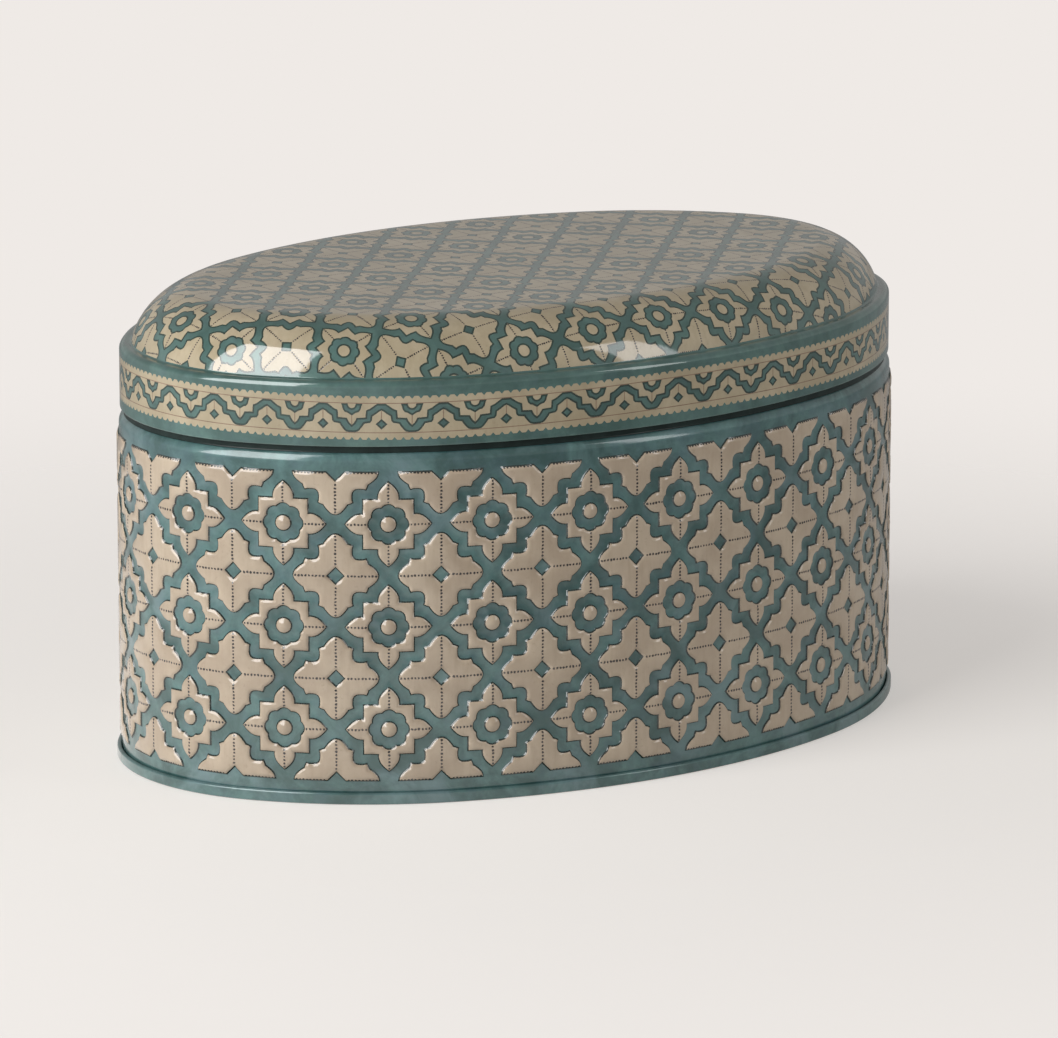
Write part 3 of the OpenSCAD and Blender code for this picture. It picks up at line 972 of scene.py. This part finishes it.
class Shader:
    """Nodes of a material or world, with short calls for the ones used here."""

    def __init__(self, owner):
        owner.use_nodes = True
        self.owner = owner
        self.nodes, self.links = owner.node_tree.nodes, owner.node_tree.links
        self.surface = self.nodes.get("Principled BSDF")

    def put(self, socket, value):
        if isinstance(value, bpy.types.NodeSocket):
            self.links.new(value, socket)
        else:
            socket.default_value = value

    def node(self, kind, inputs, **settings):
        """Outputs of a new node, whose inputs are given by name or number."""
        node = self.nodes.new("ShaderNode" + kind)
        for key, value in settings.items():
            setattr(node, key, value)
        for key, value in inputs.items():
            self.put(node.inputs[key], value)
        return node.outputs

    def math(self, kind, *values):
        return self.node("Math", dict(enumerate(values)), operation=kind)[0]

    def length(self, a, b):
        squares = self.math("ADD", self.math("MULTIPLY", a, a), self.math("MULTIPLY", b, b))
        return self.math("SQRT", squares)

    def split(self, vector):
        return self.node("SeparateXYZ", {0: vector})

    def place(self, kind="Object"):
        return self.node("TexCoord", {})[kind]

    def uv(self, name):
        return self.split(self.node("UVMap", {}, uv_map=name)[0])

    def noise(self, scale, detail, rough, stretch=(1, 1, 1), warp=0.0):
        place = self.node("Mapping", {"Vector": self.place(), "Scale": stretch})[0]
        return self.node("TexNoise", {"Vector": place, "Scale": scale, "Detail": detail, "Roughness": rough,
                                      "Distortion": warp})[0]

    def band(self, value, low, high, to_low=0.0, to_high=1.0):
        inputs = dict(enumerate((value, low, high, to_low, to_high)))
        return self.node("MapRange", inputs, interpolation_type="SMOOTHSTEP")[0]

    def cloud(self, low, high, **noise):
        """Noise, of which the part between two values is spread from 0 to 1."""
        return self.band(self.noise(**noise), low, high)

    def mix(self, share, a, b):
        return self.node("Mix", {0: share, 6: a, 7: b}, data_type="RGBA")[2]

    def tint(self, color, share, strength, other):
        """Mixes a colour given as 0 to 255 into another."""
        return self.mix(self.math("MULTIPLY", share, strength), color, linear(*other))

    def bump(self, height, distance, strength):
        normal = self.node("Bump", {"Distance": distance, "Strength": strength, "Height": height})[0]
        for key in ("Normal", "Coat Normal"):
            self.put(self.surface.inputs[key], normal)

    def finish(self, color, roughness, **more):
        for key, value in {"Base Color": color, "Roughness": roughness, **more}.items():
            self.put(self.surface.inputs[key.replace("_", " ")], value)
        return self.owner

    def direct_rays(self):
        """1 for rays that come from the camera, and 1 for those from a gloss or a glass."""
        path = self.node("LightPath", {})
        mirrored_ray = self.math("MAXIMUM", path["Is Glossy Ray"], path["Is Transmission Ray"])
        return path["Is Camera Ray"], mirrored_ray


def new_shader(name):
    return Shader(bpy.data.materials.new(name))


# Teal: light, dark, cool, deep, and pale for patches of painted reflection. Beige: light, dark, streak and
# speck.
WALL_TEAL = ((92, 130, 128), (56, 90, 88), (80, 110, 118), (40, 74, 72), (116, 144, 148))
LID_TEAL = ((86, 121, 114), (60, 94, 88), (76, 106, 107), (44, 76, 70), (100, 126, 122))
WALL_BEIGE = ((194, 176, 153), (178, 159, 137), (164, 145, 122), (146, 126, 105))
LID_BEIGE = ((188, 173, 145), (170, 155, 126), (158, 142, 112), (142, 125, 98))
TIN_DARK, TIN_LIGHT = (192, 189, 181), (224, 221, 213)
# Roughness of the clear coat, and its refraction
WALL_GLOSS, LID_GLOSS = (0.12, 1.78), (0.06, 1.9)
# Unevenness of the sheet, its depth in metres and its strength, and what shares of it the fine grain
# and the dots have. Then the spread and the lowest value of the roughness.
ENAMEL_BUMP, TIN_BUMP = (0.0001, 0.6), (0.00004, 0.5)
GRAIN_SHARE, DENT_SHARE = 0.1, -0.3
ENAMEL_ROUGH, TIN_ROUGH = (0.16, 0.36), (0.2, 0.26)
# Shares of the crystals and the clouds in the look of bare tin
CRYSTAL_SHARE, CLOUD_SHARE = 0.5, 0.6
# Beads along the wall's outlines: where their edge blurs, in widths of the line, and their strength
BEAD_EDGE, BEAD_STRENGTH = (0.35, 0.6), 0.9
# Dots along the axes of the tiles: their number on a tile, colour, radius and blur in tile widths, range
# of their unevenness, and rows of whether a figure stands on the tile's corners, and where its dots
# begin and end
WALL_DOTS, LID_DOTS = 30, 32
DOT_DARK = (36, 28, 24)
DOT_R, DOT_BLUR, DOT_UNEVEN = 0.0112, 0.003, (0.75, 1.35)
DOT_ROWS = ((False, 0.195, 0.395), (True, 0.10, 0.395))


def varnish(shader, color, gloss, metal=0.0, coat=1.0, dents=None):
    """Printed enamel under a clear coat, on sheet that is a little uneven. Some metal may shine through."""
    grain = shader.noise(scale=520, detail=3, rough=0.6)
    waves = shader.noise(scale=65, detail=3, rough=0.5)
    height = shader.math("MULTIPLY_ADD", grain, GRAIN_SHARE, waves)
    if dents:
        height = shader.math("MULTIPLY_ADD", dents, DENT_SHARE, height)
    shader.bump(height, *ENAMEL_BUMP)
    rough = shader.math("MULTIPLY_ADD", shader.noise(scale=70, detail=5, rough=0.6), *ENAMEL_ROUGH)
    return shader.finish(color, rough, Metallic=metal, Specular_IOR_Level=0.15, Coat_Weight=coat,
                         Coat_Roughness=gloss[0], Coat_IOR=gloss[1])


def axis_dots(shader, per_tile):
    """Dots along the axes of the tiles, a little uneven in size."""
    x, y = (shader.math("ABSOLUTE", v) for v in shader.uv("Tile")[:2])
    far_x, far_y = (shader.math("ABSOLUTE", shader.math("SUBTRACT", 0.5, v)) for v in (x, y))
    uneven = shader.band(shader.noise(scale=1400, detail=2, rough=0.5), 0.3, 0.7, *DOT_UNEVEN)
    dots = 0.0
    for at_corner, first, last in DOT_ROWS:
        a, b = (far_x, far_y) if at_corner else (x, y)
        off, along = shader.math("MINIMUM", a, b), shader.math("MAXIMUM", a, b)
        step = shader.math("SUBTRACT", shader.math("FRACT", shader.math("MULTIPLY", along, per_tile)), 0.5)
        size = shader.length(shader.math("DIVIDE", step, per_tile), off)
        size = shader.math("MULTIPLY", size, uneven)
        dot = shader.band(size, DOT_R - DOT_BLUR, DOT_R + DOT_BLUR, 1.0, 0.0)
        dot = shader.math("MULTIPLY", dot, shader.math("GREATER_THAN", along, first))
        dot = shader.math("MULTIPLY", dot, shader.math("LESS_THAN", along, last))
        dots = shader.math("MAXIMUM", dots, dot)
    return dots


def teal_enamel(name, colors, gloss, metal, reflection_share=0.0):
    """Mottled teal: light and dark patches, cooler ones between them, a fine grain and wide pale patches of
    painted reflection.
    """
    shader = new_shader(name)
    light, dark, cool, deep, pale = colors
    patches = shader.cloud(0.36, 0.66, scale=75, detail=6, rough=0.62, warp=0.6)
    between = shader.cloud(0.46, 0.66, scale=150, detail=4, rough=0.6, warp=0.4)
    grain = shader.cloud(0.35, 0.70, scale=420, detail=5, rough=0.7)
    # Wide pale patches: painted reflection of the surroundings on the coat
    painted_reflections = shader.cloud(0.50, 0.68, scale=38, detail=5, rough=0.6, warp=0.8)
    color = shader.mix(patches, linear(*dark), linear(*light))
    for share, strength, other in ((between, 0.45, cool), (grain, 0.25, deep), (painted_reflections, reflection_share, pale)):
        color = shader.tint(color, share, strength, other)
    return varnish(shader, color, gloss, metal)


def beige_enamel(name, colors, gloss, per_tile):
    """Beige print, clouded, streaked and specked, with rows of dots along the axes of its figures."""
    shader = new_shader(name)
    light, dark, streak, speck = colors
    clouds = shader.cloud(0.35, 0.68, scale=60, detail=5, rough=0.6)
    streaks = shader.cloud(0.42, 0.72, scale=90, detail=5, rough=0.65, stretch=(6, 6, 0.8))
    specks = shader.cloud(0.60, 0.74, scale=900, detail=3, rough=0.6)
    dots = axis_dots(shader, per_tile)
    color = shader.mix(clouds, linear(*dark), linear(*light))
    for share, strength, other in ((streaks, 0.30, streak), (specks, 0.25, speck), (dots, 1.0, DOT_DARK)):
        color = shader.tint(color, share, strength, other)
    return varnish(shader, color, gloss, dents=dots)


def dark_print_and_shade(name, low, high, gloss, beads=None, coat=1.0):
    """Dark print, also used as painted shade. With beads it carries a row of round spots of that colour."""
    shader = new_shader(name)
    clouds = shader.cloud(0.35, 0.7, scale=240, detail=5, rough=0.65)
    color = shader.mix(clouds, linear(*low), linear(*high))
    if beads:
        along, across, _ = shader.uv("Tile")
        along = shader.math("SUBTRACT", shader.math("FRACT", along), 0.5)
        along = shader.math("MULTIPLY", along, BEAD / LINE_W)
        size = shader.length(along, shader.math("SUBTRACT", across, 0.5))
        color = shader.tint(color, shader.band(size, *BEAD_EDGE, 1.0, 0.0), BEAD_STRENGTH, beads)
    return varnish(shader, color, gloss, coat=coat)


def bare_tin(name):
    """Tin with a faint grain of crystals."""
    shader = new_shader(name)
    crystals = shader.node("TexVoronoi", {"Vector": shader.place(), "Scale": 150})["Distance"]
    clouds = shader.noise(scale=160, detail=5, rough=0.65)
    grain = shader.math("ADD", shader.math("MULTIPLY", crystals, CRYSTAL_SHARE),
                        shader.math("MULTIPLY", clouds, CLOUD_SHARE))
    color = shader.mix(shader.band(grain, 0.3, 0.75), linear(*TIN_DARK), linear(*TIN_LIGHT))
    rough = shader.math("MULTIPLY_ADD", shader.noise(scale=90, detail=5, rough=0.6), *TIN_ROUGH)
    shader.bump(shader.noise(scale=300, detail=4, rough=0.6), *TIN_BUMP)
    return shader.finish(color, rough, Metallic=0.9)


tin = bare_tin("inside_tin")
# The wall's teal, also used on the base, carries the pale patches of painted reflection
wall_teal = teal_enamel("wall_teal", WALL_TEAL, WALL_GLOSS, metal=0.3, reflection_share=0.6)
wall_materials = {
    TEAL: wall_teal,
    BEIGE: beige_enamel("wall_beige", WALL_BEIGE, WALL_GLOSS, WALL_DOTS),
    # The wall's outline is print, and its dark colour is also painted shade along the foot of each figure's
    # slope
    LINE: dark_print_and_shade("wall_outline_and_foot_shade", (22, 42, 38), (34, 58, 53), WALL_GLOSS, beads=(11, 18, 16)),
    # Painted shade: the neck is coloured near black for the gap under the lid's edge, with little coat to
    # keep it dark
    NECK_SHADE: dark_print_and_shade("neck_painted_shade", (21, 34, 32), (32, 47, 44), WALL_GLOSS, coat=0.15),
    INSIDE: tin,
}
lid_materials = {
    TEAL: teal_enamel("lid_teal", LID_TEAL, LID_GLOSS, metal=0.25),
    BEIGE: beige_enamel("lid_beige", LID_BEIGE, LID_GLOSS, LID_DOTS),
    LINE: dark_print_and_shade("lid_outline", (20, 46, 38), (32, 60, 50), LID_GLOSS),
    BROWN: dark_print_and_shade("lid_rule", (122, 96, 74), (142, 114, 90), LID_GLOSS),
    INSIDE: tin,
}
base_materials = {TEAL: wall_teal, INSIDE: tin}

for piece, body, node, slot in (
        (make_wall(wall_materials), "box", "body_wall", "printed_wall"),
        (make_lid(lid_materials), "lid", "lid", "printed_lid"),
        (make_base(base_materials), "box", "base_panel", "base_enamel")):
    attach(piece, body)
    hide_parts(node)

# Camera, found from the photograph: its turn and height, distance, how far it sees, focal length
# and framing
CAMERA_AZIMUTH, CAMERA_ELEVATION = -34.64, 13.25
CAMERA_DISTANCE, CAMERA_REACH = 2.020, 20
CAMERA_LENS, CAMERA_SENSOR = 266.0, 36
CAMERA_SHIFT = (0.01745, -0.0086)
AIM = Vector((0, 0, 0.055))

# Lamps: direction, distance, width, heights of the lower and upper edge, power, and whether it is
# seen in reflections
LAMPS = {
    "key": (-79, 0.9, 0.69, 0.2, 1.6, 13.2, True),
    "fill": (30.5, 1.0, 0.21, 0.2, 0.95, 1.1, True),
    "soft_left": (-118, 1.4, 1.2, 0.02, 0.4, 5.5, False),
    "soft_right": (62, 1.4, 0.9, 0.02, 0.4, 6, False),
    "soft_back": (155, 1.4, 1.4, 0.02, 0.5, 4.5, False),
}

# Studio: its colours, and between which parts of a direction to the right or up they change
BACKDROP = linear(239, 234, 230)
HORIZON_LEFT = (0.64, 0.65, 0.65, 1.0)
HORIZON_RIGHT = (0.24, 0.24, 0.24, 1.0)
ZENITH = (0.06, 0.06, 0.06, 1.0)
SIDE_CHANGE, UP_CHANGE = (-1.0, 0.2), (0.0, 0.75)
# Share of the backdrop that is seen in reflections, and the directions up over which it comes in
MIRRORED_SHARE, MIRRORED_UP = 0.28, (-0.05, 0.1)
# Floor: its glow is stronger to the left in reflections, and it fades between two distances
FLOOR_COLOR = linear(202, 199, 195)
FLOOR_GLOW = 0.5
FLOOR_LEFT, FLOOR_RIGHT, FLOOR_SIDES = 1.6, 0.3, (-0.16, 0.02)
FLOOR_HALF, FLOOR_Z = 2, -1e-4
FLOOR_FADE = (0.13, 0.45)


def from_box(azimuth, elevation):
    """Direction from the box, where azimuth 0 is its front."""
    az, el = math.radians(azimuth), math.radians(elevation)
    return Vector((math.sin(az) * math.cos(el), -math.cos(az) * math.cos(el), math.sin(el)))


def add_camera():
    back = from_box(CAMERA_AZIMUTH, CAMERA_ELEVATION)
    right = from_box(CAMERA_AZIMUTH + 90, 0)
    turn = Matrix((right, back.cross(right), back)).transposed().to_4x4()
    data = bpy.data.cameras.new("photo_camera")
    data.lens = CAMERA_LENS
    data.sensor_width = CAMERA_SENSOR
    data.sensor_fit = "HORIZONTAL"
    data.shift_x, data.shift_y = CAMERA_SHIFT
    data.clip_end = CAMERA_REACH
    camera = add_object("photo_camera", data)
    camera.matrix_world = Matrix.Translation(AIM + back * CAMERA_DISTANCE) @ turn
    bpy.context.scene.camera = camera


def add_lamp(name, azimuth, distance, width, low, high, power, in_mirrors):
    """Upright softbox between two heights, which faces the box."""
    data = bpy.data.lights.new(name, "AREA")
    data.shape = "RECTANGLE"
    data.size, data.size_y = width, high - low
    data.energy = power
    lamp = add_object(name, data)
    lamp.visible_glossy = in_mirrors
    away = from_box(azimuth, 0)
    lamp.location = away * distance + Vector((0, 0, (low + high) / 2))
    lamp.rotation_euler = (-away).to_track_quat("-Z", "Y").to_euler()


def add_world():
    """Studio that is paler towards the horizon and to the left, in front of a plain backdrop."""
    world = bpy.data.worlds.new("studio")
    bpy.context.scene.world = world
    shader = Shader(world)
    right, _, up = shader.split(shader.place("Generated"))
    horizon = shader.mix(shader.band(right, *SIDE_CHANGE), HORIZON_LEFT, HORIZON_RIGHT)
    lit = shader.mix(shader.band(up, *UP_CHANGE), horizon, ZENITH)
    camera_ray, mirrored_ray = shader.direct_rays()
    above = shader.math("MULTIPLY", mirrored_ray, shader.band(up, *MIRRORED_UP, 0.0, MIRRORED_SHARE))
    share = shader.math("MAXIMUM", camera_ray, above)
    shader.put(shader.nodes["Background"].inputs[0], shader.mix(share, lit, BACKDROP))


def add_floor():
    """Pale floor a little below the box, which fades out around it. Mirrored, it is paler to the left."""
    mesh = bpy.data.meshes.new("floor")
    corners = [(FLOOR_HALF * x, FLOOR_HALF * y, FLOOR_Z) for x, y in ((-1, -1), (1, -1), (1, 1), (-1, 1))]
    mesh.from_pydata(corners, [], [(0, 1, 2, 3)])
    floor = add_object("floor", mesh)
    shader = new_shader("floor_paper")
    away = shader.node("VectorMath", {0: shader.place()}, operation="LENGTH")["Value"]
    clear = shader.node("BsdfTransparent", {})[0]
    fade = shader.band(away, *FLOOR_FADE)
    mix = shader.node("MixShader", {0: fade, 1: shader.surface.outputs[0], 2: clear})[0]
    shader.put(shader.nodes["Material Output"].inputs[0], mix)
    camera_ray, mirrored_ray = shader.direct_rays()
    right, _, _ = shader.split(shader.place())
    paler = shader.band(right, *FLOOR_SIDES, FLOOR_LEFT, FLOOR_RIGHT)
    glow = shader.math("MAXIMUM", camera_ray, shader.math("MULTIPLY", mirrored_ray, paler))
    glow = shader.math("MULTIPLY", glow, FLOOR_GLOW)
    mesh.materials.append(shader.finish(FLOOR_COLOR, roughness=0.9, Specular_IOR_Level=0.1,
                                        Emission_Color=BACKDROP, Emission_Strength=glow))


add_camera()
add_world()
add_floor()
for name, row in LAMPS.items():
    add_lamp(name, *row)
bpy.context.scene.view_settings.view_transform = "Standard"
